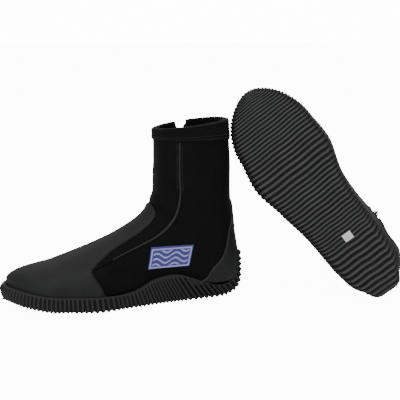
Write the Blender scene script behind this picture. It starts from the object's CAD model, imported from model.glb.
"""A pair of zipped neoprene boots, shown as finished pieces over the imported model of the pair.

Each boot is drawn once in its own frame, in millimetres: x runs from the back of the heel to the toe,
y to the outer side of the foot and z up from the ground. Two matrices then put the left boot and its
mirror image in place.
"""

import math
from functools import lru_cache
from types import SimpleNamespace

import bmesh
import bpy
import numpy as np
from mathutils import Matrix, Vector


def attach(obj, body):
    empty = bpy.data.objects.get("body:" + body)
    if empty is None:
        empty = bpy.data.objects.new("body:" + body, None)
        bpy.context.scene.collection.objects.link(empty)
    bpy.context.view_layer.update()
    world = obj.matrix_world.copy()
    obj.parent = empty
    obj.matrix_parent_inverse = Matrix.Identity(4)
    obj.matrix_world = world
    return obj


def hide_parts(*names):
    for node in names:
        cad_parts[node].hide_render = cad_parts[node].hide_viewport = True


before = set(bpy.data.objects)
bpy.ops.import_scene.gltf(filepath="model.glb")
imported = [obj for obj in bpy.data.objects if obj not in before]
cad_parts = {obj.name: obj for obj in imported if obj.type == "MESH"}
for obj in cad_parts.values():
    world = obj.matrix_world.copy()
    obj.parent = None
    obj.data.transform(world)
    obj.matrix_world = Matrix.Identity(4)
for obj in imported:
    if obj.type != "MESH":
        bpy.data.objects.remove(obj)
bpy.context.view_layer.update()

bl_info = {
    "name": "Neoprene boots",
    "version": (1, 0, 0),
    "blender": (4, 5, 0),
    "location": "View3D > Sidebar > Boots",
    "description": "Builds the finished pieces of a pair of zipped neoprene boots",
    "category": "Object",
}

# Layers of the boot, in millimetres
NEOPRENE = 5
OVERLAY_TOP = 2.1  # face of the heel counter above the neoprene
CAP_TOP = 2.4  # and of the toe cap
OVERLAY_FOOT = 0.2  # their underside above it
BINDING_TOP = 1.6
BINDING_FOOT = 0.3
BINDING_DROP = 12
TREAD = 10
SOLE_WALL = 6
SOLE_LIP = 4
LIP_TALL = 1.5  # height of the plain lip above the ribs
TOE_BUMPER = 9
RIB_ZONES = [(17, 6.8), (8, 4.45), (10, 5.2), (4, 6.7), (4, 5.4), (15, 4.4)]
GROOVE_PLACE = 0.8  # of a groove in its rib's pitch
ZIP_SLOT = 16
ZIP_TOP_X = 66
ZIP_BOTTOM = (79, 62)  # along and above the ground
ZIP_RIM_DROP = 10
TEETH_SPLIT = 1.8
TEETH_WIDTH = 2.6
TEETH_THICKNESS = 2.4
ZIP_SINK = 2.2
STOP_LENGTH = 3
SLOT_SPARE = 1.5
SLOT_TAPER = 18
SLIDER_START = 0.5
SLIDER_LENGTH = 13
SLIDER_WIDTH = 9.6
PULL_LENGTH = 20
SEAM_TAPE_HALF = 0.85
SEAM_RINGS = (0.56, 9.3)
SEAM_STITCH_PITCH = 2.4
EMBLEM_AT = (99, 55)
EMBLEM_SIZE = (50, 24)

# Rings of the boot's last: front or top point, back or bottom point, middle, half width, widest place
# as a share, and squareness above and below that.
STATIONS = [
    ((108, 196), (20, 206), 0, 33, 0.5, 1.9, 2.3),
    ((107, 174), (17, 160), 0, 33.6, 0.5, 2.1, 2.3),
    ((107, 154), (16.5, 118), -0.2, 34.4, 0.48, 2.3, 2.3),
    ((107.5, 138), (12.5, 80), -0.6, 35.2, 0.42, 2.4, 2.2),
    ((109.5, 121), (8, 45), -1.2, 36, 0.36, 2.4, 2.2),
    ((113, 109), (11, 18), -1.6, 36.2, 0.34, 2.4, 2.1),
    ((119, 100), (35, 10), -1.8, 36.2, 0.34, 2.4, 3.2),
    ((128, 92.5), (70, 10), -0.8, 35.6, 0.36, 2.4, 4.5),
    ((143, 84), (107, 10), 0.8, 35.2, 0.38, 2.4, 5),
    ((163, 74.5), (145, 10), 3, 39.8, 0.38, 2.35, 5),
    ((192, 62), (185, 10), 1.6, 49, 0.37, 2.3, 5),
    ((222, 51.5), (222, 12), -0.5, 45.5, 0.37, 2.3, 4.5),
]
FRONT_X, FRONT_Z = ([s[0][k] for s in STATIONS] for k in (0, 1))
BACK_X, BACK_Z = ([s[1][k] for s in STATIONS] for k in (0, 1))
MIDDLE, HALF, WIDEST, ABOVE, BELOW = ([s[k] for s in STATIONS] for k in range(2, 7))
TIP = SimpleNamespace(x=277, bottom=23, middle=-5, widest=0.45)
TOE_FALL = (9, 10.5, 3.8)  # how far the toe's top falls: at its root, evenly and at its tip
TOE_ROOT_X = 222
TOE_ROUND = 1.8
TOE_RING = 11
LAST_RING = 14
SEAM_ANGLES = np.radians([60, 59, 59, 57, 51, 46.5, 47, 50, 52.5, 53, 56, 50])
CAP_ANGLES = [0, 12, 21, 26, 33, 37, 45, 53, 64, 84, 108, 135]
CAP_RINGS = [4.8, 4.95, 5.4, 6.45, 7.85, 9, 9.55, 9.87, 10.08, 10, 9.8, 9.7]
COUNTER_HALF = np.radians([22, 59, 77, 84, 70])
WALL_TOPS = [0, 0, 0, 1, 5, 6, 9, 28.5, 24.5, 11.5, 10.5, 10, 9.5, 8.5, 7.5]
KICK_TOP = 3.75

# Where the two boots are, in metres: columns are a boot's x, y and z, then its origin.
PLACES = {
    "left": Matrix(((-1, 0, 0, 0.0257269), (0, -1, 0, 0.0118456), (0, 0, 1, 0), (0, 0, 0, 1))),
    "right": Matrix(
        (
            (-0.5119, -0.7253, 0.4604, 0.1615609),
            (0.3351, 0.3249, 0.8844, -0.1084699),
            (0.7910, -0.6070, -0.0767, 0.0090461),
            (0, 0, 0, 1),
        )
    ),
}
SIDES = ("left", "right")
MM = 0.001


# ---------------------------------------------------------------- the boot's shape


def lerp(a, b, t):
    return a + (b - a) * t


def smoothstep(x, low, high):
    t = np.clip((x - low) / (high - low), 0, 1)
    return t * t * (3 - 2 * t)


def along(values, s):
    """Catmull-Rom value of a list at a ring number."""
    values = np.asarray(values, float)
    i = np.clip(np.floor(s).astype(int), 0, len(values) - 2)
    t = np.clip(s - i, 0, 1)
    a, b, c, d = (values[np.clip(i + k, 0, len(values) - 1)] for k in (-1, 0, 1, 2))
    return 0.5 * (2 * b + (c - a) * t + (2 * a - 5 * b + 4 * c - d) * t**2 + (3 * b - a - 3 * c + d) * t**3)


def ring(s):
    """One ring, or an array of rings, of the boot's outer face."""
    s = np.asarray(s, float)
    n = np.minimum(s, TOE_RING)
    turn = np.clip((s - TOE_RING) / (LAST_RING - TOE_RING), 0, 1) * math.pi / 2
    cosine = np.maximum(np.cos(turn), 0)
    narrow = cosine ** (2 / TOE_ROUND)
    ahead = np.sin(turn) ** (2 / TOE_ROUND)
    reach = (TIP.x - TOE_ROOT_X) * ahead
    root, even, tip = TOE_FALL
    fall = root * ahead * (1 - ahead) ** 6 + even * ahead + tip * ahead**8
    front = np.stack([along(FRONT_X, n) + reach, along(FRONT_Z, n) - fall], -1)
    low = lerp(np.maximum(along(BACK_Z, n), TREAD), TIP.bottom, np.sin(turn) ** 2)
    back = np.stack([along(BACK_X, n) + reach, low], -1)
    height = np.linalg.norm(front - back, axis=-1)
    return SimpleNamespace(
        turn=turn,
        back=back,
        height=height,
        rise=(front - back) / height[..., None],
        middle=lerp(TIP.middle, along(MIDDLE, n), narrow),
        half=along(HALF, n) * narrow,
        widest=lerp(TIP.widest, along(WIDEST, n), narrow),
        above=along(ABOVE, n),
        below=along(BELOW, n),
    )


def section(r, angle, half):
    """Height above a ring's bottom line and distance from its middle, at an angle from the front ridge."""
    up = angle <= math.pi / 2
    power = np.where(up, r.above, r.below)
    c = np.abs(np.cos(angle)) ** (2 / power)
    share = np.where(up, r.widest + (1 - r.widest) * c, r.widest * (1 - c))
    return r.height * share, half * np.abs(np.sin(angle)) ** (2 / power)


def side_at(r, rise):
    c = np.clip(1 - rise / (r.height * r.widest), 0, 1)
    return r.half * (1 - c**r.below) ** (1 / r.below)


def angle_at(r, rise):
    return math.pi - np.arccos(np.clip(1 - rise / (r.height * r.widest), 0, 1) ** (r.below / 2))


def ring_point(r, rise, across, side, out=0.0):
    x = r.back[..., 0] + r.rise[..., 0] * rise + out * np.sin(r.turn)
    y = r.middle + side * (across + out * np.cos(r.turn))
    z = r.back[..., 1] + r.rise[..., 1] * rise
    return np.stack(np.broadcast_arrays(x, y, z), -1)


def relief(s, angle):
    """How far soft folds lift the skin at the bend of the ankle."""
    bend = np.exp(-(((s - 3.6) / 1.9) ** 2))
    front = np.exp(-((angle / 1.35) ** 2))
    back = np.exp(-(((np.abs(angle) - math.pi) / 0.9) ** 2)) * np.exp(-(((s - 2.3) / 0.9) ** 2))
    fold = np.sin(3.1 * s + 0.9 * np.sin(2.1 * angle) + 0.4) + 0.35 * np.sin(6.3 * s - 1.2 * angle)
    swell = 0.35 * np.sin(1.7 * s + 2.3 * angle) * np.exp(-(((s - 2.5) / 2.6) ** 2))
    calm = smoothstep(s, 0.5, 1.4) * (1 - smoothstep(s, 6.0, 8.0))
    height = bpy.context.scene.boots.fold_height / MM
    return calm * height * (front * bend * fold + 0.5 * back * fold + swell)


def place(s, angle, out=0.0, folds=True):
    """Points of the boot's face, moved outwards. Positive angles are on the outer side of the foot."""
    s, angle = np.broadcast_arrays(np.asarray(s, float), np.asarray(angle, float))
    r = ring(s)
    side = np.where(angle < 0, -1.0, 1.0)
    at = np.abs(angle)
    step = 0.02
    wide = np.maximum(r.half, 0.01)
    h0, a0 = section(r, np.maximum(at - step, 0), wide)
    h1, a1 = section(r, np.minimum(at + step, math.pi), wide)
    size = np.hypot(h1 - h0, a1 - a0)
    h, a = section(r, at, r.half)
    edge = (at < step) | (at > math.pi - step)
    up = np.where(edge, np.sign(np.cos(at)), (a1 - a0) / size)
    sideways = np.where(edge, 0, -(h1 - h0) / size)
    if folds:
        out = out + relief(s, angle)
    return ring_point(r, h + up * out, a, side, sideways * out)


def bisect(low, high, is_low):
    """Halves the way between low and high, for whole arrays at once."""
    low, high = np.broadcast_arrays(np.asarray(low, float), np.asarray(high, float))
    low, high = low.copy(), high.copy()
    for _ in range(26):
        mid = (low + high) / 2
        below = is_low(mid)
        low, high = np.where(below, mid, low), np.where(below, high, mid)
    return (low + high) / 2


ZIP_RIM_Z = (FRONT_Z[0] + BACK_Z[0]) / 2
ZIP_LEAN = (ZIP_BOTTOM[0] - ZIP_TOP_X) / (ZIP_BOTTOM[1] - ZIP_RIM_Z)
SLOT_END = ZIP_BOTTOM[1] - STOP_LENGTH - SLOT_SPARE


def zip_x(z):
    return ZIP_BOTTOM[0] + (z - ZIP_BOTTOM[1]) * ZIP_LEAN


def crossing(s, side, line_x):
    """Angle at which a ring crosses the line x = line_x(z) on one side of the boot."""

    def ahead(angle):
        p = place(s, side * angle, folds=False)
        return p[..., 0] > line_x(p[..., 2])

    return side * bisect(np.zeros_like(s), math.pi, ahead)


def locate(side, x, z):
    """Ring and angle of the points at x and z on one side of the boot."""
    last = bisect(np.zeros_like(x), LAST_RING, lambda s: (ring(s).back[..., 0] < x) | (s < 5))
    s = bisect(0, last, lambda n: place(n, crossing(n, side, lambda _: x), folds=False)[..., 2] > z)
    return s, crossing(s, side, lambda _: x)


def slot_half(z):
    return lerp(0.4, ZIP_SLOT / 2, np.clip((z - SLOT_END) / SLOT_TAPER + 1, 0, 1))


def slot_edge(s, ahead):
    return crossing(np.asarray(s, float), -1, lambda z: zip_x(z) + ahead * slot_half(z))


def ring_at_zip(ahead, height, shift=ZIP_SLOT / 2):
    edge = lambda s: crossing(s, -1, lambda z: zip_x(z) + ahead * shift)
    return float(bisect(0.0, 8.0, lambda s: place(s, edge(s), folds=False)[..., 2] > height))


def foot_angle(s):
    return lerp(math.pi, angle_at(ring(s), 3), smoothstep(s, 4.9, 5.7))


def seam_angle(s):
    return along(SEAM_ANGLES, np.minimum(s, TOE_RING))


# ---------------------------------------------------------------- meshes


def distances(p, axis):
    """Running length of each line of a grid of points along one axis."""
    steps = np.linalg.norm(np.diff(p, axis=axis), axis=-1)
    pad = [(0, 0), (0, 0)]
    pad[axis] = (1, 0)
    return np.cumsum(np.pad(steps, pad), axis=axis)


def spread(count, lengths, edge, ends):
    """Rows for a sheet: shares of each line's length, closer at its rounded ends, and how far in they lie."""
    near = edge * (1 - np.cos(np.linspace(0, math.pi / 2, 7)))
    first = near if ends[0] else near[:1]
    last = near[::-1] if ends[1] else near[:1]
    shares = [d / lengths for d in first[:-1]] if ends[0] else []
    start = edge / lengths if ends[0] else 0 * lengths
    stop = 1 - edge / lengths if ends[1] else 1 + 0 * lengths
    inner = np.linspace(0, 1, count + 1)
    shares += [lerp(start, stop, t) for t in inner]
    deep = [edge] * (count + 1)
    if ends[0]:
        deep = list(first[:-1]) + deep
    if ends[1]:
        shares += [1 - d / lengths for d in last[1:]]
        deep += list(last[1:])
    return np.array(shares), np.array(deep)


def both_faces(top, low, rim=None, turns=False):
    """Vertices, faces, a map in metres and an edge value for a sheet with two faces and walls between."""
    n, m = top.shape[:2]
    index = np.arange(n * m).reshape(n, m)
    quad = lambda a, b, c, d: np.stack([a, b, c, d], -1).reshape(-1, 4)
    upper = quad(index[:-1, :-1], index[1:, :-1], index[1:, 1:], index[:-1, 1:])
    lower = upper[:, ::-1] + n * m
    below = index + n * m
    walls = [
        quad(index[:-1, 0], below[:-1, 0], below[1:, 0], index[1:, 0]),
        quad(index[:-1, -1], index[1:, -1], below[1:, -1], below[:-1, -1]),
        quad(index[0, :-1], index[0, 1:], below[0, 1:], below[0, :-1]),
    ]
    if not turns:
        walls.append(quad(index[-1, :-1], below[-1, :-1], below[-1, 1:], index[-1, 1:]))
    v = distances(top, 0)
    u = distances(top, 1)
    u = u - u[:, m // 2][:, None]
    surface = np.stack([u, v], -1).reshape(-1, 2)
    edge = np.zeros((n, m)) if rim is None else rim
    return SimpleNamespace(
        points=np.concatenate([top.reshape(-1, 3), low.reshape(-1, 3)]),
        faces=np.concatenate([upper, lower, *walls]).tolist(),
        surface=np.concatenate([surface, surface]) * MM,
        rim=np.concatenate([edge.ravel(), edge.ravel()]),
    )


def shell(at, rows, columns, top, low, edge, drop=None, under=0.0, ends=(True,) * 4, turns=False):
    """A layer of the skin between two heights, with its upper edges rounded or thinned by drop over edge."""
    drop = edge if drop is None else drop
    coarse = np.linspace(0, 1, 25)
    u, v = np.meshgrid(coarse, coarse, indexing="ij")
    p = place(*at(u, v), top)
    long = np.maximum(distances(p, 0)[-1], 4 * edge)
    wide = np.maximum(distances(p, 1)[:, -1], 4 * edge)
    _, deep_v = spread(columns, np.array([1.0]), edge, ends[2:])
    spread_v = lambda lengths: spread(columns, lengths, edge, ends[2:])[0]
    v_line = spread_v(np.array([wide.mean()]))[:, 0]
    u_grid, deep_u = spread(rows, np.interp(v_line, coarse, long), edge, ends[:2])
    u_line = u_grid.mean(axis=1)
    v_grid = spread_v(np.interp(u_line, coarse, wide)).T
    q = np.hypot(1 - deep_u[:, None] / edge, 1 - deep_v[None, :] / edge)
    height = np.sqrt(1 - np.clip(q, 0, 1) ** 2)
    s, angle = at(u_grid, v_grid)
    upper = place(s, angle, top - drop * (1 - height))
    lower = place(s, angle, low + under * (1 - height))
    return both_faces(upper, lower, rim=1 - height, turns=turns)


def add_mesh(name, side, shape, material, smooth=True, merge=1e-6):
    """Puts a shape drawn in a boot's frame in its place, as a finished object."""
    matrix = np.array(PLACES[side])
    points = np.asarray(shape.points) * MM @ matrix[:3, :3].T + matrix[:3, 3]
    name = name.replace(" ", "_")
    mesh = bpy.data.meshes.new(name)
    mesh.from_pydata(points.tolist(), [], shape.faces)
    loops = np.zeros(len(mesh.loops), int)
    mesh.loops.foreach_get("vertex_index", loops)
    if getattr(shape, "surface", None) is not None:
        layer = mesh.uv_layers.new(name="UVMap")
        layer.data.foreach_set("uv", shape.surface[loops].ravel())
    for key in ("rim", "groove", "tread"):
        if getattr(shape, key, None) is not None:
            attribute = mesh.attributes.new(key, "FLOAT", "POINT")
            attribute.data.foreach_set("value", np.asarray(getattr(shape, key), np.float32))
    work = bmesh.new()
    work.from_mesh(mesh)
    bmesh.ops.remove_doubles(work, verts=work.verts, dist=merge)
    bmesh.ops.recalc_face_normals(work, faces=work.faces)
    work.to_mesh(mesh)
    work.free()
    mesh.materials.append(material)
    piece = bpy.data.objects.new(name, mesh)
    bpy.context.scene.collection.objects.link(piece)
    if smooth:
        mesh.shade_smooth()
    return piece


def finish_piece(piece, side, nodes=(), body=None, angle=None):
    """Tells the frame what a piece rides on, what it stands for and which slot it takes its finish from."""
    if angle:
        bpy.ops.object.select_all(action="DESELECT")
        bpy.context.view_layer.objects.active = piece
        piece.select_set(True)
        bpy.ops.object.shade_smooth_by_angle(angle=math.radians(angle))
        piece.select_set(False)
    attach(piece, f"{side}_{body or 'boot'}")
    if nodes:
        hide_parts(*[f"{side}_{node}" for node in nodes])
    return piece


def threads(starts, ends, ups, radius, arch=0.5):
    """Short stitches, each from a start to an end, as rounded strands that rise a little in the middle."""
    rings, sides = 7, 6
    t = np.linspace(0, 1, rings)
    swell = np.sqrt(np.maximum(1 - (2 * t - 1) ** 2, 0.02))
    along_it = ends - starts
    forward = along_it / np.linalg.norm(along_it, axis=-1, keepdims=True)
    across = np.cross(forward, ups)
    across /= np.linalg.norm(across, axis=-1, keepdims=True)
    up = np.cross(across, forward)
    a = np.arange(sides) * 2 * math.pi / sides
    middle = starts[:, None] + along_it[:, None] * t[None, :, None]
    middle = middle + up[:, None] * (arch * radius * (1 - (2 * t - 1) ** 2))[None, :, None]
    cosine, sine = np.cos(a)[None, None, :, None], np.sin(a)[None, None, :, None]
    around = across[:, None, None] * cosine + up[:, None, None] * sine
    points = middle[:, :, None] + around * (radius * swell)[None, :, None, None]
    base = np.arange(rings * sides).reshape(rings, sides)
    following = np.roll(base, -1, axis=1)
    quads = np.stack([base[:-1], following[:-1], following[1:], base[1:]], -1).reshape(-1, 4).tolist()
    faces = []
    for k in range(len(starts)):
        shift = k * rings * sides
        faces += [[i + shift for i in quad] for quad in quads]
        faces.append([int(i) + shift for i in base[0][::-1]])
        faces.append([int(i) + shift for i in base[-1]])
    return SimpleNamespace(points=points.reshape(-1, 3), faces=faces)


def line_stitches(s, angle, out, pitch, length, radius):
    """Running stitches along a line on the skin."""
    p = place(s, angle, out)
    up = place(s, angle, out + 1) - p
    run = np.concatenate([[0], np.cumsum(np.linalg.norm(np.diff(p, axis=0), axis=-1))])
    marks = np.arange(pitch / 2, run[-1] - length, pitch)
    pick = lambda values, at: np.stack([np.interp(at, run, values[:, k]) for k in range(3)], -1)
    return threads(pick(p, marks), pick(p, marks + length), pick(up, marks), radius)


# ---------------------------------------------------------------- outsole


def sole_depth(s):
    return lerp(SOLE_WALL, TREAD / ring(s).rise[..., 1], smoothstep(s, 4.2, 6))


def wall_top(s):
    return np.maximum(along(WALL_TOPS, s), 1.5)


def sole_outer(s, side):
    """Corners of half of the sole's outer face, from its top edge to the middle of the tread."""
    r = ring(s)
    top = wall_top(s)
    foot = side_at(r, np.minimum(6, 0.5 * top))
    depth = sole_depth(s)
    ahead = np.sin(r.turn)
    bumper = (TOE_BUMPER / SOLE_WALL - 1) * ahead + 1
    thicker = 1 + (bumper - 1) * ahead
    at = lambda rise, across, out: ring_point(r, rise, across, side, out * thicker)
    # Both halves meet on the tread's middle line, which the toe's bumper pushes forward.
    middle = 0.5 * sum(ring_point(r, -depth, 0, half, bumper * SOLE_WALL * ahead) for half in (1, -1))
    return [
        at(top, side_at(r, top), SOLE_LIP),
        at(0, foot, SOLE_WALL),
        at(-0.6 * depth, foot, SOLE_WALL - lerp(2.2, 0.6, ahead)),
        at(-depth, np.maximum(foot - 5, 0.6 * foot), SOLE_WALL - lerp(3.5, 2.2, ahead)),
        middle,
    ]


def sole_inner(s, side, count):
    """Half of the sole's inner face, from its top edge to the middle."""
    r = ring(s)
    top = wall_top(s)
    low = np.minimum(3, 0.3 * top)
    overlaid = np.maximum(smoothstep(s, 9.1, 9.5), 1 - smoothstep(s, 6.8, 7.2))
    out = 0.7 + overlaid * 1.7
    below = lerp(out + 0.2, 0.3, smoothstep(s, 4.6, 5.6))
    heights = [lerp(low, top, share) for share in np.linspace(1, 0, count // 2)]
    wall = [place(s, side * angle_at(r, height), out) for height in heights]
    corner = side_at(r, low / 2)
    reach = np.linspace(1, 0, count - count // 2)
    ahead = out * np.sin(r.turn)
    floor = [ring_point(r, -below, corner * share, side, ahead * (1 - share)) for share in reach]
    return wall + floor


def rib_lengths():
    """Running length along the middle of the tread, and along the wall's foot round the toe."""
    s = np.linspace(KICK_TOP, LAST_RING, 1600)
    middle = sole_outer(s, 1)[-1]
    rim = sole_outer(s, 1)[1]
    run = lambda p: np.concatenate([[0], np.cumsum(np.linalg.norm(np.diff(p, axis=0), axis=-1))])
    return s, run(middle), run(rim)


def rib_marks():
    """Ring numbers of the rows across the sole and how far down the groove each lies, from 0 to 1."""
    s, middle, rim = rib_lengths()
    ribs_end = LAST_RING - 0.7
    total = np.interp(ribs_end, s, middle)
    drawn = sum(count * pitch for count, pitch in RIB_ZONES)
    grooves = []
    start = 0.0
    for count, pitch in RIB_ZONES:
        for _ in range(count):
            grooves.append(np.interp((start + GROOVE_PLACE * pitch) * total / drawn, middle, s))
            start += pitch
    grooves = [g for g in grooves if g < 12.2]
    rest = np.interp(grooves[-1], s, rim)
    around = rim[-1] - rest
    count = max(round(around / 4.9), 2)
    grooves += [np.interp(rest + around * (k + 1) / (count + 0.5), rim, s) for k in range(count)]
    shares = [0, 0.09, 0.2, 0.34, 0.5, 0.66, 0.8, 0.91]
    depths = [1, 0.88, 0.5, 0.1, 0, 0.1, 0.5, 0.88]
    rows, dig = [KICK_TOP, lerp(KICK_TOP, grooves[0], 0.5)], [0.0, 0.05]
    for a, b in zip(grooves[:-1], grooves[1:]):
        rows += [lerp(a, b, share) for share in shares]
        dig += depths
    rows += [grooves[-1], lerp(grooves[-1], LAST_RING, 0.3), lerp(grooves[-1], LAST_RING, 0.65), LAST_RING]
    dig += [1, 0.35, 0.05, 0]
    return np.array(rows), np.array(dig)


def smooth_line(corners, shares):
    """Points at shares of a soft curve through a list of corners, each an array of points."""
    corners = [2 * corners[0] - corners[1], *corners, 2 * corners[-1] - corners[-2]]
    line = []
    spans = len(corners) - 3
    for t in np.asarray(shares) * spans:
        i = min(int(t), spans - 1)
        f = t - i
        a, b, c, d = corners[i : i + 4]
        line.append(
            0.5 * (2 * b + (c - a) * f + (2 * a - 5 * b + 4 * c - d) * f**2 + (3 * b - a - 3 * c + d) * f**3)
        )
    return line


def outsole_shape():
    """The ribbed cup sole: columns run from the wall's top edge down and under to the middle of the tread."""
    rows, dig = rib_marks()
    s_table, middle_run, _ = rib_lengths()
    per_ring = np.gradient(middle_run, s_table)
    wall_shares = [0, 0.025, 0.06, 0.11, 0.17, 0.24, 0.31, 0.39, 0.47, 0.55, 0.63, 0.71, 0.79, 0.87, 0.94, 1]
    edge, floor = 5, 20
    wall = len(wall_shares)
    half_count = edge + wall + floor
    reach = np.concatenate([np.ones(edge + wall), np.linspace(1, 0, floor + 1)[1:]])
    outer_halves, inner_halves = [], []
    for side in (1, -1):
        across = side * reach
        wave = 0.9 * np.sin(1.9 * across + 0.4)[None, :] * np.sin(0.42 * rows + 0.5)[:, None]
        wave += 0.35 * np.sin(6.2 * across)[None, :] * np.ones(len(rows))[:, None]
        calm = smoothstep(rows, 5.2, 6.4) * (1 - smoothstep(rows, 11.4, 12.6))
        shift = wave * (calm / np.interp(rows, s_table, per_ring))[:, None]
        s = np.clip(rows[:, None] + shift, KICK_TOP, LAST_RING)
        outer, inner = [], []
        for j in range(half_count):
            top, widest, low, corner, middle = sole_outer(s[:, j], side)
            within = sole_inner(s[:, j], side, half_count)
            tall = np.linalg.norm(widest - top, axis=-1, keepdims=True)
            lip = np.minimum(LIP_TALL / tall, 0.3)
            if j < 3:
                rounded = lerp(within[0], top, j / 3)
            elif j < edge:
                rounded = lerp(top, widest, lip * (j - 3) * 0.85)
            elif j < edge + wall:
                corners = [lerp(top, widest, lip * 1.1), widest, low, corner]
                rounded = smooth_line(corners, wall_shares)[j - edge]
            else:
                rounded = lerp(corner, middle, (j - edge - wall + 1) / floor)
            outer.append(rounded)
            inner.append(within[j])
        outer_halves.append(np.stack(outer, 1))
        inner_halves.append(np.stack(inner, 1))
    both = lambda halves: np.concatenate([halves[0], halves[1][:, ::-1][:, 1:]], axis=1)
    mirrored = lambda half: np.concatenate([half, half[::-1][1:]])
    outer, inner = both(outer_halves), both(inner_halves)
    # Grooves run down the wall from under the lip and across the tread.
    strength = mirrored(np.concatenate([np.zeros(edge), [0.0, 0.5, 0.95], np.ones(wall - 3 + floor)]))
    normal = np.cross(np.gradient(outer, axis=0), np.gradient(outer, axis=1))
    normal /= np.maximum(np.linalg.norm(normal, axis=-1, keepdims=True), 1e-6)
    centre = outer.mean(axis=1, keepdims=True) + np.array([0, 0, 30.0])
    normal *= np.sign((normal * (outer - centre)).sum(-1, keepdims=True))
    run = distances(outer, 0)
    order = np.arange(len(rows))
    local = run[np.clip(order + 4, 0, order[-1])] - run[np.clip(order - 4, 0, None)]
    depth = bpy.context.scene.boots.rib_depth / MM
    cut = np.minimum(depth, 0.3 * local) * dig[:, None] * strength[None, :]
    cut[-1] = 0
    outer = outer - normal * cut[..., None]
    shape = both_faces(outer, inner, turns=True)
    groove = dig[:, None] * strength[None, :]
    shape.groove = np.concatenate([groove.ravel(), np.zeros(groove.size)])
    under = mirrored(np.concatenate([np.zeros(edge + wall - 3), [0.4, 0.8, 1.0], np.ones(floor)]))
    shape.tread = np.concatenate([np.tile(under, (len(rows), 1)).ravel(), np.zeros(groove.size)])
    lip_line = mirrored(np.concatenate([np.ones(edge), np.zeros(wall + floor)]))
    shape.rim = np.concatenate([np.tile(lip_line, (len(rows), 1)).ravel(), np.zeros(groove.size)])
    return shape


# ---------------------------------------------------------------- uppers


def rows_past_zip(ahead, last):
    """Ring at a share of the way down a panel beside the zip, with the slot's taper in the middle."""
    marks = [0, ring_at_zip(ahead, SLOT_END), ring_at_zip(ahead, SLOT_END - SLOT_TAPER), last]
    shares = [0, 0.42, 0.52, 1]
    return lambda u: np.interp(u, shares, marks)


def seam_gap(s):
    return 0.2 / np.maximum(ring(s).half, NEOPRENE)


def panel(ring_of, first, second):
    """A neoprene panel between two lines down the boot."""

    def at(u, v):
        s = ring_of(u)
        line = np.linspace(0, LAST_RING, 700)
        a, b = first(line, seam_gap(line)), second(line, seam_gap(line))
        return s, lerp(np.interp(s, line, a), np.interp(s, line, b), v)

    return at


@lru_cache(maxsize=None)
def inner_end():
    return float(bisect(5.5, 8.5, lambda s: slot_edge(s, -1) > -foot_angle(s) + 0.12))


def uppers():
    """Every panel of the boot's upper: name, shape."""
    front = rows_past_zip(1, 10.4)
    rear = rows_past_zip(-1, inner_end())
    toe = lambda u, v: (lerp(10.42, LAST_RING, u), lerp(-1, 1, v) * foot_angle(lerp(10.42, LAST_RING, u)))
    round_all = dict(edge=1.1, under=0.5)
    return {
        "front_panel": shell(
            panel(front, lambda s, g: np.maximum(slot_edge(s, 1), -foot_angle(s)), lambda s, g: seam_angle(s) - g),
            110, 56, 0, -NEOPRENE, **round_all),
        "outer_quarter": shell(
            panel(front, lambda s, g: seam_angle(s) + g, lambda s, g: foot_angle(s) - g),
            110, 56, 0, -NEOPRENE, **round_all),
        "inner_quarter": shell(
            panel(rear, lambda s, g: slot_edge(s, -1), lambda s, g: g - foot_angle(s)),
            80, 48, 0, -NEOPRENE, **round_all),
        "toe_panel": shell(toe, 26, 70, 0, -NEOPRENE, ends=(True, False, True, True), turns=True, **round_all),
    }


def toe_cap_at(u, v):
    spots = len(CAP_ANGLES) - 1
    spot = np.abs(2 * v - 1) * spots
    s = lerp(along(CAP_RINGS, spot), LAST_RING, u)
    foot = angle_at(ring(s), 4)
    return s, np.sign(v - 0.5) * foot * along(CAP_ANGLES, spot) / CAP_ANGLES[-1]


def counter_at(u, v):
    share = np.abs(2 * v - 1)
    s = lerp(2.1 + 0.25 * share**2, lerp(4.75, 6.6, share**2), u)
    half = along(COUNTER_HALF, u * (len(COUNTER_HALF) - 1))
    return s, np.where(v < 0.5, -1, 1) * (math.pi - share * half)


def overlays():
    """The rubber toe cap and heel counter, thinned towards their free edges."""
    thin = OVERLAY_TOP - OVERLAY_FOOT - 0.35
    return {
        "toe_cap": shell(
            toe_cap_at, 90, 120, CAP_TOP, OVERLAY_FOOT, 2.4, thin + 0.3, ends=(True, False, True, True), turns=True
        ),
        "heel_counter": shell(counter_at, 60, 80, OVERLAY_TOP, OVERLAY_FOOT, 2.4, thin),
    }


def binding_path(out, lift, count):
    """The binding's section from its outer lower edge over the rim to its inner one: ring, out and up."""
    drop = BINDING_DROP / math.hypot(FRONT_X[1] - FRONT_X[0], FRONT_Z[1] - FRONT_Z[0])
    middle, half = -NEOPRENE / 2, NEOPRENE / 2 + out
    phi = np.linspace(0, math.pi, count)
    across = half * np.sign(np.cos(phi)) * abs(np.cos(phi)) ** 0.8
    arc = [(0.0, middle + a, lift * np.sin(f) ** 0.8) for a, f in zip(across, phi)]
    straight = np.linspace(1, 0, 14)[:-1]
    down = [(drop * t, middle + half, 0.0) for t in straight]
    back = [(drop * t, middle - half, 0.0) for t in straight[::-1]]
    return np.array(down + arc + back)


def rim_shape():
    columns = np.linspace(0, 1, 190)
    faces = []
    for out, lift in ((BINDING_TOP, 2.1), (BINDING_FOOT, 0.5)):
        path = binding_path(out, lift, 13)
        if out == BINDING_TOP:
            last = len(path) - 1
            for k, less in ((0, 1.5), (1, 0.25), (last - 1, 0.25), (last, 1.5)):
                path[k, 1] -= less * (1 if k < 5 else -1)
        s = path[:, 0][:, None] + 0 * columns[None, :]
        start, stop = slot_edge(s, 1), 2 * math.pi + slot_edge(s, -1)
        angle = lerp(start, stop, columns[None, :])
        angle = np.where(angle > math.pi, angle - 2 * math.pi, angle)
        p = place(s, angle, path[:, 1][:, None] + 0 * columns[None, :])
        p[..., 2] += path[:, 2][:, None]
        faces.append(p)
    return both_faces(*faces)


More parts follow.
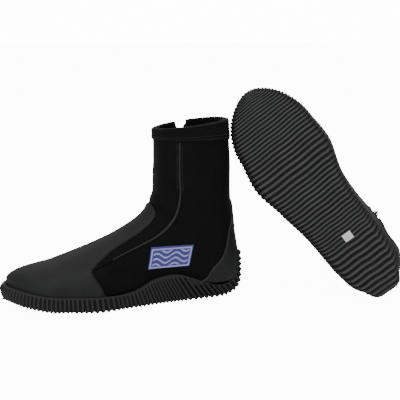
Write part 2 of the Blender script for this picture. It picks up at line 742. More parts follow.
def rim_line(drop, out, count=900):
    """A line round the boot at one depth below the rim, from the zip's front edge to its rear edge."""
    s = np.full(count, drop / math.hypot(FRONT_X[1] - FRONT_X[0], FRONT_Z[1] - FRONT_Z[0]))
    start = float(slot_edge(s[:1], 1)[0]) + 0.04
    stop = 2 * math.pi + float(slot_edge(s[:1], -1)[0]) - 0.04
    angle = np.linspace(start, stop, count)
    return s, np.where(angle > math.pi, angle - 2 * math.pi, angle), out


def seam_at(u, v):
    s = lerp(SEAM_RINGS[0], SEAM_RINGS[1], u)
    half = SEAM_TAPE_HALF / ring(s).half
    return s, seam_angle(s) + lerp(-half, half, v)


def seam_stitches():
    """Pairs of short stitches across the panels' edges on both sides of the seam's ridge."""
    s = np.linspace(0.62, 2.7, 400)
    p = place(s, seam_angle(s), 0)
    run = np.concatenate([[0], np.cumsum(np.linalg.norm(np.diff(p, axis=0), axis=-1))])
    at = np.interp(np.arange(0.5, run[-1], SEAM_STITCH_PITCH), run, s)
    rows = []
    for side in (-1, 1):
        width = ring(at).half
        a, b = (seam_angle(at) + side * d / width for d in (SEAM_TAPE_HALF + 0.1, SEAM_TAPE_HALF + 2.6))
        start, end = place(at, a, 0.12), place(at + 0.012 * side, b, 0.02)
        rows.append(threads(start, end, place(at, a, 1.2) - start, 0.26))
    return join_shapes(rows)


# ---------------------------------------------------------------- zip


@lru_cache(maxsize=None)
def zip_frame():
    """Matrix from the zip's frame (down the zip, towards the toe, out) to the boot's, and the teeth's length."""

    def at(z):
        s = bisect(0.0, 8.0, lambda n: place(n, crossing(n, -1, zip_x), folds=False)[..., 2] > z)
        return place(s, crossing(s, -1, zip_x), folds=False)

    top, bottom = at(ZIP_RIM_Z - ZIP_RIM_DROP), at(ZIP_BOTTOM[1])
    down = bottom - top
    length = np.linalg.norm(down)
    down = down / length
    edges = []
    for ahead in (1, -1):
        s = ring_at_zip(ahead, (ZIP_RIM_Z + ZIP_BOTTOM[1]) / 2)
        edges.append(place(s, slot_edge(np.array(s), ahead), folds=False))
    out = -np.cross(edges[0] - edges[1], down)
    out /= np.linalg.norm(out)
    return np.stack([down, np.cross(out, down), out], 1), top, float(length)


def to_boot(points):
    matrix, origin, _ = zip_frame()
    return np.asarray(points) @ matrix.T + origin


def block(low, high, bevel, segments=2):
    """A box with rounded edges between two corners: a cube that is scaled and bevelled in edit mode."""
    bpy.ops.object.select_all(action="DESELECT")
    bpy.ops.mesh.primitive_cube_add(size=1)
    cube = bpy.context.active_object
    low, high = np.array(low, float), np.array(high, float)
    cube.scale = high - low
    cube.location = (low + high) / 2
    bpy.ops.object.transform_apply(location=True, rotation=False, scale=True)
    bpy.ops.object.mode_set(mode="EDIT")
    bpy.ops.mesh.select_all(action="SELECT")
    bpy.ops.mesh.bevel(offset=bevel, segments=segments, affect="EDGES")
    bpy.ops.object.mode_set(mode="OBJECT")
    return taken(cube)


def taken(piece):
    """The shape of a working object, which is then removed."""
    mesh = piece.data
    points = np.array([v.co for v in mesh.vertices])
    faces = [list(f.vertices) for f in mesh.polygons]
    bpy.data.objects.remove(piece)
    bpy.data.meshes.remove(mesh)
    return SimpleNamespace(points=points, faces=faces)


def join_shapes(shapes):
    points, faces, count = [], [], 0
    for shape in shapes:
        points.append(np.asarray(shape.points))
        faces += [[i + count for i in face] for face in shape.faces]
        count += len(shape.points)
    return SimpleNamespace(points=np.concatenate(points), faces=faces)


def teeth_row(side):
    """Moulded teeth of one side, each with a foot on the tape and a head towards the other row."""
    _, _, length = zip_frame()
    low, high = -ZIP_SINK - TEETH_THICKNESS / 2, -ZIP_SINK + TEETH_THICKNESS / 2
    inner, outer = TEETH_SPLIT / 2, TEETH_SPLIT / 2 + TEETH_WIDTH
    foot = block((0.0, inner + 0.9, low), (1.15, outer, high), 0.25, 1)
    head = block((-0.1, inner - 0.25, low + 0.35), (1.25, inner + 1.2, high - 0.35), 0.3, 1)
    tooth = join_shapes([foot, head])
    tooth.points[:, 1] *= side
    pitch = 1.95
    first = 0.25 + (0.5 * pitch if side > 0 else 0)
    shapes = []
    for k in range(int((length - first - 1.2) / pitch) + 1):
        shapes.append(SimpleNamespace(points=tooth.points + [first + k * pitch, 0, 0], faces=tooth.faces))
    cord = block((0, outer - 0.7, -ZIP_SINK - 0.7), (length, outer - 0.05, -ZIP_SINK + 0.7), 0.2, 1)
    cord.points[:, 1] *= side
    return join_shapes([*shapes, cord])


def tape_shape(side):
    _, _, length = zip_frame()
    columns = np.linspace(TEETH_SPLIT / 2 + TEETH_WIDTH + 0.05, ZIP_SLOT / 2 - 0.5, 12) * side
    share, y = np.meshgrid(np.linspace(0, 1, 120) ** 1.3, columns, indexing="ij")
    inner = TEETH_SPLIT / 2 + TEETH_WIDTH
    # The tapes' upper ends are cut slanting, up to the rim at the panels.
    top = lerp(-STOP_LENGTH, 1.5 - ZIP_RIM_DROP, np.clip((np.abs(y) - inner) / 3, 0, 1))
    x = lerp(top, length, share)
    ripple = 0.10 * np.sin(x * 0.21 + side) * (np.abs(y) - 3.5) / 4
    faces = [np.stack([x, y, -ZIP_SINK + lift + ripple], -1) for lift in (0.45, -0.45)]
    return both_faces(*[to_boot(f) for f in faces])


def bail_shape(base):
    """The strap that holds the pull on the slider, bent over its hinge bar."""
    path = [(2.4, base - 0.2), (2.5, base + 1.8), (3.3, base + 3.4), (5, base + 3.9), (8.4, base + 3.9),
            (10.1, base + 3.4), (10.9, base + 1.8), (11.0, base - 0.2)]
    line = np.array(smooth_line([np.array(p) for p in path], np.linspace(0, 1, 40)))
    slope = np.gradient(line, axis=0)
    slope /= np.linalg.norm(slope, axis=1, keepdims=True)
    normal = np.stack([-slope[:, 1], slope[:, 0]], 1)
    faces = []
    for shift in (0.55, -0.55):
        xz = line + normal * shift
        y = np.linspace(-1.1, 1.1, 6)
        round_off = -0.12 * (np.abs(y) > 1) * np.sign(shift)
        grid = np.stack([
            xz[:, None, 0] + normal[:, None, 0] * round_off[None],
            np.broadcast_to(y, (len(xz), len(y))),
            xz[:, None, 1] + normal[:, None, 1] * round_off[None],
        ], -1)
        faces.append(grid)
    return both_faces(*faces)


def slider_shape():
    """The slider's two plates, its web, its raised shoulders and the bail."""
    top = -ZIP_SINK + TEETH_THICKNESS / 2 + 0.35
    low = -ZIP_SINK - TEETH_THICKNESS / 2 - 0.35
    half = SLIDER_WIDTH / 2
    inner = TEETH_SPLIT / 2 - 0.45
    parts = [
        block((0, -half, top), (SLIDER_LENGTH, half, top + 1.5), 0.55, 3),
        block((0, -half, low - 1.5), (SLIDER_LENGTH, half, low), 0.55, 3),
        block((0.5, -inner, low - 0.2), (SLIDER_LENGTH - 0.5, inner, top + 0.2), 0.15, 1),
    ]
    base = top + 1.5
    parts.append(block((1.2, -1.5, base - 0.3), (3.6, 1.5, base + 0.7), 0.3, 2))
    parts.append(block((9.8, -1.5, base - 0.3), (12.1, 1.5, base + 0.7), 0.3, 2))
    bail = bail_shape(base)
    shape = join_shapes([*parts, SimpleNamespace(points=bail.points, faces=bail.faces)])
    # The plates narrow towards the lower end, where the rows of teeth part or meet.
    x = shape.points[:, 0]
    taper = lerp(1.0, 0.72, smoothstep(x, 4.5, SLIDER_LENGTH))
    shape.points[:, 1] *= taper
    shape.points[:, 0] += SLIDER_START
    return shape


def pull_shape():
    """A flat pull tab with a window for the bail, a ribbed grip and rounded edges, drawn along the zip."""
    base = -ZIP_SINK + TEETH_THICKNESS / 2 + 0.35 + 1.5
    bar = (2.2 + 9 - 1.8 - 0.35 - 0.1 - 0.8, base + 1.5)
    bpy.ops.object.select_all(action="DESELECT")
    bpy.ops.mesh.primitive_grid_add(x_subdivisions=10, y_subdivisions=5, size=1)
    tab = bpy.context.active_object
    xs = [-0.8, 0.8, 2.2, 6.4, 8, 10.6, 13, 15.4, 17.6, 19.1, PULL_LENGTH]
    ys = [-3, -1.5, -0.4, 0.4, 1.5, 3]
    widths = [1, 1, 1, 1, 1, 1.2, 1.33, 1.33, 1.33, 1.22, 0.85]
    for v in tab.data.vertices:
        i, j = round((v.co.x + 0.5) * 10), round((v.co.y + 0.5) * 5)
        v.co = (xs[i], ys[j] * widths[i], 0)
    bpy.ops.object.mode_set(mode="EDIT")
    bpy.ops.mesh.select_all(action="DESELECT")
    bpy.ops.object.mode_set(mode="OBJECT")
    for face in tab.data.polygons:
        c = face.center
        face.select = 0.9 < c.x < 7.9 and abs(c.y) < 1.4
    bpy.ops.object.mode_set(mode="EDIT")
    bpy.ops.mesh.delete(type="FACE")
    bpy.ops.object.mode_set(mode="OBJECT")
    for kind, settings in (
        ("SOLIDIFY", {"thickness": 1.6, "offset": 0}),
        ("BEVEL", {"width": 0.4, "segments": 3, "limit_method": "ANGLE"}),
    ):
        modifier = tab.modifiers.new(kind.title(), kind)
        for key, value in settings.items():
            setattr(modifier, key, value)
        bpy.ops.object.modifier_apply(modifier=modifier.name)
    shape = taken(tab)
    ribs = [block((x, -2.6, 0.55), (x + 0.9, 2.6, 1.15), 0.25, 1) for x in (12.2, 14, 15.8)]
    shape = join_shapes([shape, *ribs])
    shape.points += [bar[0] + SLIDER_START, 0, bar[1]]
    return shape


# ---------------------------------------------------------------- insides and marks


def gusset_at(u, v):
    z = lerp(ZIP_RIM_Z - BINDING_DROP - 9, ZIP_BOTTOM[1] - 20, u)
    heights = np.linspace(z.min(), z.max(), 60)
    rings = bisect(np.zeros_like(heights), 8.0,
                   lambda n: place(n, crossing(n, -1, zip_x), folds=False)[..., 2] > heights)
    s = np.interp(z, heights, rings)
    return s, crossing(s, -1, lambda h: zip_x(h) + lerp(19, -19, v))


def base_patch_at(u, v):
    z = lerp(ZIP_BOTTOM[1] - STOP_LENGTH - 1, ZIP_BOTTOM[1] - 22, u)
    heights = np.linspace(z.min(), z.max(), 40)
    rings = bisect(np.zeros_like(heights), 9.0,
                   lambda n: place(n, crossing(n, -1, zip_x), folds=False)[..., 2] > heights)
    s = np.interp(z, heights, rings)
    half = 11 * lerp(1, 0.55, u * u)
    return s, crossing(s, -1, lambda h: zip_x(h) + lerp(half, -half, v))


def plate_shape(first, low, high, side_rise, crown=0.0):
    """A plate along the boot's bottom line, with rounded edges."""
    u = np.linspace(0, 1, 70)
    v = np.linspace(-1, 1, 34)
    s = lerp(first, LAST_RING - 1.3, u)[:, None] + 0 * v[None, :]
    r = ring(s)
    half = np.maximum(side_at(r, side_rise) - NEOPRENE - 3, 3)
    edge = np.maximum(np.abs(v)[None, :], np.abs(2 * u - 1)[:, None] ** 6)
    soft = np.clip((edge - 0.93) / 0.07, 0, 1) ** 2
    top = ring_point(r, high - 0.6 * soft + crown * (1 - v[None, :] ** 2), half * v[None, :], 1)
    return both_faces(top, ring_point(r, low, half * v[None, :], 1))


def emblem_at(u, v):
    up = lerp(-0.5, 0.5, u) * EMBLEM_SIZE[1]
    x = EMBLEM_AT[0] + lerp(-0.5, 0.5, v) * EMBLEM_SIZE[0] - 0.25 * up
    return locate(1, x, EMBLEM_AT[1] + up)


def sticker_shape():
    shape = block((84 - 4.5, -2 - 5.5, -0.5), (84 + 4.5, -2 + 5.5, -0.2), 0.1, 1)
    xy = (shape.points[:, :2] - [84, -2]) * MM
    shape.surface = xy
    return shape


# ---------------------------------------------------------------- materials


class Number:
    """A number inside a shader, so that sums of sockets read as plain arithmetic."""

    def __init__(self, shader, socket):
        self.shader = shader
        self.socket = socket

    def __add__(self, other):
        return self.shader.math("ADD", self, other)

    def __radd__(self, other):
        return self.shader.math("ADD", other, self)

    def __sub__(self, other):
        return self.shader.math("SUBTRACT", self, other)

    def __rsub__(self, other):
        return self.shader.math("SUBTRACT", other, self)

    def __mul__(self, other):
        return self.shader.math("MULTIPLY", self, other)

    def __rmul__(self, other):
        return self.shader.math("MULTIPLY", other, self)

    def __truediv__(self, other):
        return self.shader.math("DIVIDE", self, other)

    def __pow__(self, other):
        return self.shader.math("POWER", self, other)

    def __mod__(self, other):
        return self.shader.math("FLOORED_MODULO", self, other)

    def __gt__(self, other):
        return self.shader.math("GREATER_THAN", self, other)

    def __lt__(self, other):
        return self.shader.math("LESS_THAN", self, other)

    def sine(self):
        return self.shader.math("SINE", self)

    def size(self):
        return self.shader.math("ABSOLUTE", self)

    def clamped(self):
        return self.shader.math("ADD", self, 0.0, clamp=True)


class Shader:
    """A material and the few ways in which its nodes are made."""

    def __init__(self, name, **constants):
        self.material = bpy.data.materials.new(name)
        self.material.use_nodes = True
        self.tree = self.material.node_tree
        self.surface = self.tree.nodes["Principled BSDF"]
        for key, value in constants.items():
            self.surface.inputs[key.replace("_", " ")].default_value = value

    def feed(self, socket, value):
        if isinstance(value, Number):
            value = value.socket
        if isinstance(value, bpy.types.NodeSocket):
            self.tree.links.new(value, socket)
        else:
            socket.default_value = value

    def node(self, kind, sockets=(), **settings):
        made = self.tree.nodes.new(kind)
        for key, value in settings.items():
            setattr(made, key, value)
        for key, value in dict(sockets).items():
            self.feed(made.inputs[key], value)
        return made

    def math(self, operation, *values, clamp=False):
        made = self.node("ShaderNodeMath", operation=operation, use_clamp=clamp)
        for socket, value in zip(made.inputs, values):
            self.feed(socket, value)
        return Number(self, made.outputs[0])

    def point(self):
        return self.node("ShaderNodeTexCoord").outputs["Object"]

    def map(self):
        parts = self.node("ShaderNodeSeparateXYZ", {0: self.node("ShaderNodeTexCoord").outputs["UV"]})
        return Number(self, parts.outputs[0]), Number(self, parts.outputs[1])

    def attribute(self, name):
        return Number(self, self.node("ShaderNodeAttribute", attribute_name=name).outputs["Fac"])

    def noise(self, scale, detail=3, roughness=0.5, vector=None):
        sockets = {"Vector": vector or self.point(), "Scale": scale, "Detail": detail, "Roughness": roughness}
        return Number(self, self.node("ShaderNodeTexNoise", sockets).outputs["Fac"])

    def cells(self, scale, vector=None, feature="F1"):
        sockets = {"Vector": vector or self.point(), "Scale": scale}
        return Number(self, self.node("ShaderNodeTexVoronoi", sockets, feature=feature).outputs["Distance"])

    def mix(self, factor, first, second):
        made = self.node("ShaderNodeMix", data_type="RGBA")
        for key, value in ((0, factor), (6, first), (7, second)):
            self.feed(made.inputs[key], value)
        return made.outputs[2]

    def colour(self, value):
        self.feed(self.surface.inputs["Base Color"], value)

    def rough(self, value):
        self.feed(self.surface.inputs["Roughness"], value)

    def bump(self, *layers):
        """Adds height layers, each (height, strength, distance in metres)."""
        normal = None
        for height, strength, distance in layers:
            sockets = {"Height": height, "Strength": strength, "Distance": distance}
            if normal is not None:
                sockets["Normal"] = normal
            normal = self.node("ShaderNodeBump", sockets).outputs["Normal"]
        self.feed(self.surface.inputs["Normal"], normal)


def grey(value, tint=(1, 1, 1)):
    return (value * tint[0], value * tint[1], value * tint[2], 1)


@lru_cache(maxsize=None)
def neoprene():
    m = Shader("Neoprene with a knitted face", Specular_IOR_Level=0.14, Sheen_Weight=0.015, Sheen_Roughness=0.5)
    u, v = m.map()
    turn = 2 * math.pi / 0.00075
    knit = (u * turn).sine() * (v * turn * 1.25 + (u * turn).sine() * 0.7).sine()
    soft = m.noise(60, 4, 0.6)
    fine = m.noise(1800, 2, 0.5)
    m.colour(m.mix((soft - 0.35) * 1.6, grey(0.0016, (1.05, 1, 1.1)), grey(0.0052, (1, 1, 1.08))))
    m.rough(0.62 + 0.16 * soft)
    m.bump((knit, 0.35, 0.00012), (fine, 0.25, 0.0001), (m.noise(170, 3), 0.25, 0.0006))
    return m.material


@lru_cache(maxsize=None)
def overlay_rubber():
    m = Shader("Pebbled overlay rubber", Specular_IOR_Level=0.3)
    pebble = m.cells(1150)
    grain = m.noise(900, 3, 0.6)
    worn = m.noise(38, 4, 0.6)
    edge = (m.attribute("rim") * 1.4 - 0.25).clamped()
    base = m.mix((worn - 0.3) * 1.5, grey(0.011, (0.96, 1, 1.06)), grey(0.023, (0.97, 1, 1.05)))
    m.colour(m.mix(edge * (0.35 + 0.5 * worn), base, grey(0.085, (0.98, 1, 1.03))))
    m.rough(0.52 + 0.2 * worn)
    m.bump((pebble, 0.55, 0.00022), (grain, 0.2, 0.00015))
    return m.material


@lru_cache(maxsize=None)
def sole_rubber():
    m = Shader("Moulded sole rubber", Specular_IOR_Level=0.35)
    groove, lip, tread = m.attribute("groove"), m.attribute("rim"), m.attribute("tread")
    worn = m.noise(45, 5, 0.65)
    dust = m.noise(600, 3, 0.7)
    crest = ((1 - groove * 1.9).clamped() * (1 - lip)).clamped()
    base = m.mix(worn, grey(0.0009, (0.97, 1, 1.04)), grey(0.0024, (0.97, 1, 1.04)))
    wall = m.mix(worn, grey(0.022, (0.97, 1, 1.03)), grey(0.05, (0.97, 1, 1.02)))
    top = m.mix(tread, wall, m.mix(worn, grey(0.05, (0.97, 1, 1.03)), grey(0.13, (0.97, 1, 1.02))))
    body = m.mix(crest * (0.55 + 0.45 * dust), base, top)
    m.colour(m.mix(lip * (0.3 + 0.5 * dust), body, grey(0.035, (0.97, 1, 1.02))))
    m.rough(0.44 + 0.22 * worn)
    m.bump((dust, 0.18, 0.0002), (m.noise(2400, 2), 0.12, 0.0001), (worn, 0.2, 0.0008))
    return m.material


@lru_cache(maxsize=None)
def bound_edge():
    m = Shader("Knitted edge binding", Specular_IOR_Level=0.14, Sheen_Weight=0.02)
    u, v = m.map()
    turn = 2 * math.pi / 0.0009
    weave = ((u + v) * turn).sine() * ((u - v) * turn).sine()
    m.colour(m.mix(m.noise(90, 4), grey(0.002), grey(0.006, (1, 1, 1.05))))
    m.rough(0.7 + 0.15 * m.noise(150, 3))
    m.bump((weave, 0.4, 0.00015), (m.noise(300, 3), 0.25, 0.0004))
    return m.material


@lru_cache(maxsize=None)
def ridge_tape():
    m = Shader("Raised seam tape", Specular_IOR_Level=0.45)
    worn = m.noise(120, 4)
    edge = m.attribute("rim").clamped()
    m.colour(m.mix(edge * 0.6, m.mix(worn, grey(0.010), grey(0.022)), grey(0.003)))
    m.rough(0.5 + 0.2 * worn)
    m.bump((m.noise(1300, 3), 0.3, 0.0002),)
    return m.material


@lru_cache(maxsize=None)
def thread():
    m = Shader("Twisted thread", Specular_IOR_Level=0.4, Sheen_Weight=0.2)
    twist = m.noise(2600, 2)
    m.colour(m.mix(twist, grey(0.010), grey(0.020)))
    m.rough(0.6 + 0.15 * twist)
    m.bump((twist, 0.4, 0.0001),)
    return m.material


@lru_cache(maxsize=None)
def woven_tape():
    m = Shader("Woven zip tape", Specular_IOR_Level=0.3, Sheen_Weight=0.12)
    u, v = m.map()
    turn = 2 * math.pi / 0.0008
    twill = ((u * 1.0 + v * 0.6) * turn).sine() * 0.5 + 0.5
    stitch = ((v * 2 * math.pi / 0.0025).sine() > 0.1) * ((u.size() - 0.0011).size() < 0.00022)
    m.colour(m.mix(stitch * 0.7, m.mix(twill, grey(0.0045), grey(0.011)), grey(0.035)))
    m.rough(0.75 + 0.1 * twill)
    m.bump((twill, 0.5, 0.00012), (stitch, 0.5, 0.0002))
    return m.material


@lru_cache(maxsize=None)
def zip_plastic():
    m = Shader("Moulded zip plastic", Specular_IOR_Level=0.5)
    scuff = m.noise(260, 5, 0.7)
    m.colour(m.mix(scuff, grey(0.006), grey(0.018)))
    m.rough(0.26 + 0.24 * scuff)
    m.bump((m.noise(900, 3), 0.12, 0.0001), (scuff, 0.1, 0.0002))
    return m.material


@lru_cache(maxsize=None)
def board():
    m = Shader("Fibre lasting board", Specular_IOR_Level=0.3)
    fibre = m.noise(700, 5, 0.7)
    m.colour(m.mix(fibre, grey(0.05), grey(0.12, (1.05, 1, 0.92))))
    m.rough(0.8 + 0.15 * fibre)
    m.bump((fibre, 0.4, 0.0003),)
    return m.material


@lru_cache(maxsize=None)
def foam():
    m = Shader("Foam footbed with a cloth face", Specular_IOR_Level=0.3, Sheen_Weight=0.15)
    u, v = m.map()
    turn = 2 * math.pi / 0.0011
    weave = (u * turn).sine() * (v * turn).sine()
    m.colour(m.mix(m.noise(220, 4), grey(0.014), grey(0.030, (0.95, 1, 1.1))))
    m.rough(0.82 + 0.1 * m.noise(400, 2))
    m.bump((weave, 0.4, 0.0002), (m.noise(1200, 3), 0.3, 0.0002))
    return m.material


@lru_cache(maxsize=None)
def emblem_print():
    """Pale waves on a blue panel with a lighter border."""
    m = Shader("Printed wave panel", Specular_IOR_Level=0.5)
    u, v = m.map()
    x, y = u / (EMBLEM_SIZE[0] * MM), v / (EMBLEM_SIZE[1] * MM)
    wave = (y * 4.0 + (x * 2 * math.pi * 2.2).sine() * 0.45) % 1.0
    stripe = (((wave - 0.5).size() < 0.17) * 1.0) * (x.size() < 0.42) * ((y - 0.5).size() < 0.37)
    border = (((x.size() - 0.46).size() < 0.018) + (((y - 0.5).size() - 0.43).size() < 0.035)).clamped()
    border = border * (x.size() < 0.478) * ((y - 0.5).size() < 0.465)
    fleck = m.noise(800, 3)
    blue = m.mix(fleck, (0.045, 0.045, 0.22, 1), (0.075, 0.075, 0.33, 1))
    pale = m.mix(fleck, (0.30, 0.30, 0.72, 1), (0.50, 0.50, 0.88, 1))
    m.colour(m.mix((stripe + border).clamped(), blue, pale))
    m.rough(0.34 + 0.2 * fleck)
    m.bump((stripe + border, 0.35, 0.00015), (fleck, 0.15, 0.0001))
    return m.material


@lru_cache(maxsize=None)
def paper():
    """A white label with faint plain bars."""
    m = Shader("White paper label", Specular_IOR_Level=0.4)
    u, v = m.map()
    bars = (((u - 0.0012).size() < 0.0005) + ((u + 0.0012).size() < 0.0005)).clamped() * (v.size() < 0.003)
    fibre = m.noise(1200, 4)
    m.colour(m.mix(bars * 0.4, m.mix(fibre, grey(0.82), grey(0.9)), grey(0.35)))
    m.rough(0.55 + 0.2 * fibre)
    m.bump((fibre, 0.15, 0.0001),)
    return m.material


@lru_cache(maxsize=None)
def studio_floor():
    m = Shader("Pale studio floor", Specular_IOR_Level=0.1, Emission_Color=(1, 1, 1, 1))
    soft = m.noise(3, 2)
    seen = Number(m, m.node("ShaderNodeLightPath").outputs["Is Camera Ray"])
    m.feed(m.surface.inputs["Emission Strength"], seen * 12.0)
    m.colour(m.mix(soft, grey(0.93), grey(0.95)))
    m.rough(0.85 + 0.05 * soft)
    return m.material


# ---------------------------------------------------------------- settings, operators and panel


class BootsSettings(bpy.types.PropertyGroup):
    rib_depth: bpy.props.FloatProperty(
        name="Rib depth", description="Depth of the grooves between the sole's ribs", default=0.0021,
        unit="LENGTH")
    fold_height: bpy.props.FloatProperty(
        name="Fold height", description="Height of the soft folds at the ankle's bend", default=0.0007,
        unit="LENGTH")
    stitch_pitch: bpy.props.FloatProperty(
        name="Stitch pitch", description="Distance from stitch to stitch round the rim", default=0.0028,
        unit="LENGTH")
    key_power: bpy.props.FloatProperty(
        name="Key light", description="Power of the large soft light over the boots", default=15.0,
        unit="POWER")
    fill_power: bpy.props.FloatProperty(
        name="Fill light", description="Power of the light beside the camera", default=5.0, unit="POWER")
    sky_strength: bpy.props.FloatProperty(
        name="Surroundings", description="Brightness of the white surroundings", default=0.5, subtype="FACTOR",
        min=0, soft_max=4)
    lens: bpy.props.FloatProperty(
        name="Lens", description="Focal length of the camera on a 36 mm sensor, in millimetres", default=95.7)


class BOOTS_OT_soles(bpy.types.Operator):
    """Builds the ribbed outsoles, the lasting boards and the footbeds"""

    bl_idname = "boots.soles"
    bl_label = "Soles"

    def execute(self, context):
        sole = outsole_shape()
        plank = plate_shape(5.9, 0.4, 2.4, 4)
        bed = plate_shape(6.1, 3.8, 7.8, 5, crown=0.5)
        for side in SIDES:
            piece = add_mesh(f"{side} ribbed outsole", side, sole, sole_rubber())
            finish_piece(piece, side, ["outsole"], angle=50)
            piece = add_mesh(f"{side} lasting board", side, plank, board())
            finish_piece(piece, side, ["lasting_board"], angle=40)
            piece = add_mesh(f"{side} footbed", side, bed, foam())
            finish_piece(piece, side, ["footbed"], angle=50)
        return {"FINISHED"}


class BOOTS_OT_uppers(bpy.types.Operator):
    """Builds the neoprene panels and the flap behind the zip"""

    bl_idname = "boots.uppers"
    bl_label = "Uppers"

    def execute(self, context):
        shapes = uppers()
        flap = shell(gusset_at, 60, 30, -NEOPRENE - 1.1, -NEOPRENE - 2.9, 0.6)
        for side in SIDES:
            for name, shape in shapes.items():
                piece = add_mesh(f"{side} neoprene {name.replace('_', ' ')}", side, shape, neoprene())
                finish_piece(piece, side, [name])
            piece = add_mesh(f"{side} flap behind the zip", side, flap, neoprene())
            finish_piece(piece, side, ["zip_gusset"])
        return {"FINISHED"}


class BOOTS_OT_overlays(bpy.types.Operator):
    """Builds the rubber toe caps, heel counters and the patches under the zips"""

    bl_idname = "boots.overlays"
    bl_label = "Rubber overlays"

    def execute(self, context):
        shapes = overlays()
        shapes["zip_base_patch"] = shell(base_patch_at, 24, 24, 1.0, 0.1, 0.8, 0.6)
        for side in SIDES:
            for name, shape in shapes.items():
                piece = add_mesh(f"{side} rubber {name.replace('_', ' ')}", side, shape, overlay_rubber())
                finish_piece(piece, side, [name])
        return {"FINISHED"}


class BOOTS_OT_trim(bpy.types.Operator):
    """Builds the rim bindings, the raised side seams and their stitching"""

    bl_idname = "boots.trim"
    bl_label = "Binding and seams"

    def execute(self, context):
        rim = rim_shape()
        ridge = shell(seam_at, 150, 8, 1.55, 0.15, 1.2, 1.1)
        pitch = context.scene.boots.stitch_pitch / MM
        rows = []
        for drop in (8.6, 10.3):
            s, angle, out = rim_line(drop, BINDING_TOP + 0.02)
            rows.append(line_stitches(s, angle, out, pitch, 0.72 * pitch, 0.3))
        rim_thread = join_shapes(rows)
        seam_thread = seam_stitches()
        for side in SIDES:
            piece = add_mesh(f"{side} rim binding", side, rim, bound_edge())
            finish_piece(piece, side, ["rim_binding"])
            piece = add_mesh(f"{side} side seam ridge", side, ridge, ridge_tape())
            finish_piece(piece, side, ["side_seam_tape"])
            piece = add_mesh(f"{side} rim stitching", side, rim_thread, thread())
            finish_piece(piece, side)
            piece = add_mesh(f"{side} side seam stitching", side, seam_thread, thread())
            finish_piece(piece, side)
        return {"FINISHED"}


class BOOTS_OT_zips(bpy.types.Operator):
    """Builds the zips: tapes, teeth, stops, slider and pull tab"""

    bl_idname = "boots.zips"
    bl_label = "Zips"

    def execute(self, context):
        _, _, length = zip_frame()
        inner, outer = TEETH_SPLIT / 2, TEETH_SPLIT / 2 + TEETH_WIDTH
        low, high = -ZIP_SINK - TEETH_THICKNESS / 2, -ZIP_SINK + TEETH_THICKNESS / 2
        shapes = {"zip_slider": slider_shape(), "zip_pull": pull_shape()}
        for word, direction in (("front", 1), ("rear", -1)):
            y = sorted((direction * inner, direction * (outer + 0.2)))
            shapes[f"zip_teeth_{word}"] = teeth_row(direction)
            shapes[f"zip_top_stop_{word}"] = block(
                (-STOP_LENGTH - 0.4, y[0], low), (-0.4, y[1], high + 0.6), 0.4)
        shapes["zip_bottom_stop"] = block(
            (length + 0.4, -outer, low), (length + 0.4 + STOP_LENGTH, outer, high), 0.4)
        for shape in shapes.values():
            shape.points = to_boot(shape.points)
        tapes = {f"zip_tape_{word}": tape_shape(d) for word, d in (("front", 1), ("rear", -1))}
        bodies = {"zip_slider": "zip_slider", "zip_pull": "zip_pull"}
        for side in SIDES:
            for name, shape in tapes.items():
                piece = add_mesh(f"{side} {name.replace('_', ' ')}", side, shape, woven_tape())
                finish_piece(piece, side, [name], angle=40)
            for name, shape in shapes.items():
                piece = add_mesh(f"{side} {name.replace('_', ' ')}", side, shape, zip_plastic())
                finish_piece(piece, side, [name], bodies.get(name), angle=45)
        return {"FINISHED"}


class BOOTS_OT_marks(bpy.types.Operator):
    """Builds the printed side panels and the label on the sole"""

    bl_idname = "boots.marks"
    bl_label = "Panel and label"

    def execute(self, context):
        badge = shell(emblem_at, 26, 50, 1.5, 0.15, 0.6, 0.4)
        for side in SIDES:
            piece = add_mesh(f"{side} printed side panel", side, badge, emblem_print())
            finish_piece(piece, side, ["emblem"])
        piece = add_mesh("right label", "right", sticker_shape(), paper(), smooth=False)
        finish_piece(piece, "right", ["size_sticker"])
        return {"FINISHED"}


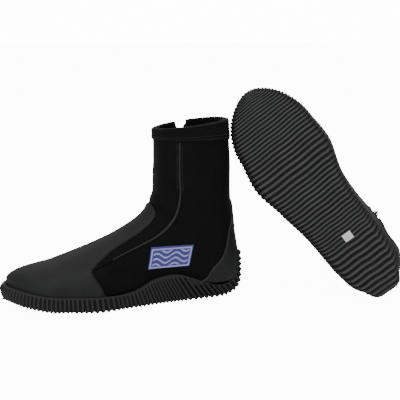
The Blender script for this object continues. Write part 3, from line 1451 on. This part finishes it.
class BOOTS_OT_stage(bpy.types.Operator):
    """Makes the floor, the lights and the camera"""

    bl_idname = "boots.stage"
    bl_label = "Stage"

    def execute(self, context):
        settings = context.scene.boots
        bpy.ops.object.select_all(action="DESELECT")
        bpy.ops.mesh.primitive_plane_add(size=14, location=(0, 2, -0.0004))
        floor = context.active_object
        floor.name = "floor"
        floor.data.materials.append(studio_floor())
        for name, place_at, target, power, size in (
            ("key light", (-0.5, -0.7, 1.9), (0, 0, 0.08), settings.key_power, 1.5),
            ("fill light", (-1.2, -1.5, 0.7), (0, 0, 0.1), settings.fill_power, 1.0),
            ("back light", (0.9, 1.3, 1.3), (0, 0, 0.1), settings.fill_power * 1.4, 1.2),
        ):
            bpy.ops.object.light_add(type="AREA", location=place_at)
            lamp = context.active_object
            lamp.name = name
            lamp.data.energy = power
            lamp.data.size = size
            lamp.rotation_euler = (Vector(target) - Vector(place_at)).to_track_quat("-Z", "Y").to_euler()
        world = bpy.data.worlds.new("surroundings")
        world.use_nodes = True
        tree = world.node_tree
        background = tree.nodes["Background"]
        background.inputs["Color"].default_value = (1, 1, 1, 1)
        # The surroundings look brighter than they light.
        seen = tree.nodes.new("ShaderNodeLightPath").outputs["Is Camera Ray"]
        strength = tree.nodes.new("ShaderNodeMath")
        strength.operation = "MULTIPLY_ADD"
        tree.links.new(seen, strength.inputs[0])
        strength.inputs[1].default_value = 14.0
        strength.inputs[2].default_value = settings.sky_strength
        tree.links.new(strength.outputs[0], background.inputs["Strength"])
        context.scene.world = world
        bpy.ops.object.camera_add(location=(-0.43426, -1.1417, 0.332))
        camera = context.active_object
        camera.data.lens = settings.lens
        camera.rotation_euler = (math.radians(90 - 10.2), 0, -math.radians(19.5))
        context.scene.camera = camera
        return {"FINISHED"}


STEPS = (
    BOOTS_OT_soles,
    BOOTS_OT_uppers,
    BOOTS_OT_overlays,
    BOOTS_OT_trim,
    BOOTS_OT_zips,
    BOOTS_OT_marks,
    BOOTS_OT_stage,
)


class VIEW3D_PT_boots(bpy.types.Panel):
    bl_label = "Neoprene boots"
    bl_space_type = "VIEW_3D"
    bl_region_type = "UI"
    bl_category = "Boots"

    def draw(self, context):
        for step in STEPS:
            self.layout.operator(step.bl_idname)


def register():
    for cls in (BootsSettings, *STEPS, VIEW3D_PT_boots):
        bpy.utils.register_class(cls)
    bpy.types.Scene.boots = bpy.props.PointerProperty(type=BootsSettings)


def unregister():
    del bpy.types.Scene.boots
    for cls in reversed((BootsSettings, *STEPS, VIEW3D_PT_boots)):
        bpy.utils.unregister_class(cls)


def main():
    register()
    bpy.ops.boots.soles()
    bpy.ops.boots.uppers()
    bpy.ops.boots.overlays()
    bpy.ops.boots.trim()
    bpy.ops.boots.zips()
    bpy.ops.boots.marks()
    bpy.ops.boots.stage()


if __name__ == "__main__":
    main()
